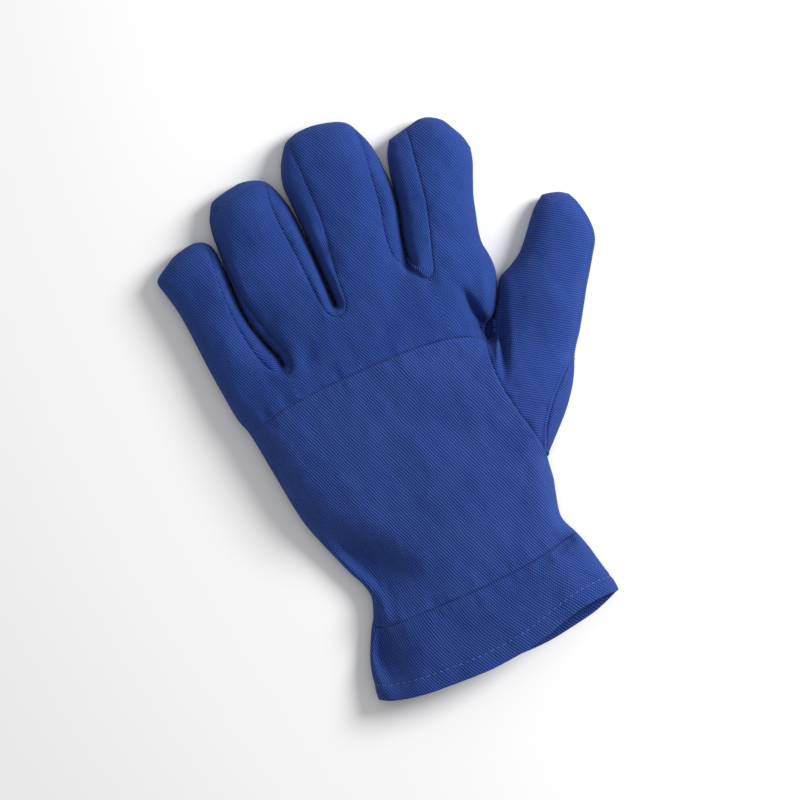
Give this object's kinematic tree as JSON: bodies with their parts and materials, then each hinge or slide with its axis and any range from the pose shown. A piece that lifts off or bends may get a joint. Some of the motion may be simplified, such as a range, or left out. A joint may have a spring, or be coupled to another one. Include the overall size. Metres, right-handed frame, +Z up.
{
  "type": "cotton drill work glove",
  "caption": "Left-hand work glove of cotton drill lying on its palm: flared cuff with a turned hem, back cut across the knuckles, gussets between the fingers and a set-in thumb.",
  "frame": {"origin": "on the surface that the palm lies on, below the middle of the glove", "axes": "+X towards the thumb's side, +Y from the hem towards the fingertips, +Z up, out of the back of the hand"},
  "size_m": [0.1938, 0.26, 0.0279],
  "materials": {
    "drill_cloth": "matt twill weave"
  },
  "bodies": {
    "root": {"cuff_band": "drill_cloth", "palm_panel": "drill_cloth", "back_hand_panel": "drill_cloth", "back_finger_panel": "drill_cloth", "gusset_little_ring": "drill_cloth", "gusset_ring_middle": "drill_cloth", "gusset_middle_index": "drill_cloth", "thumb_front_panel": "drill_cloth", "thumb_back_panel": "drill_cloth"}
  },
  "joints": []
}
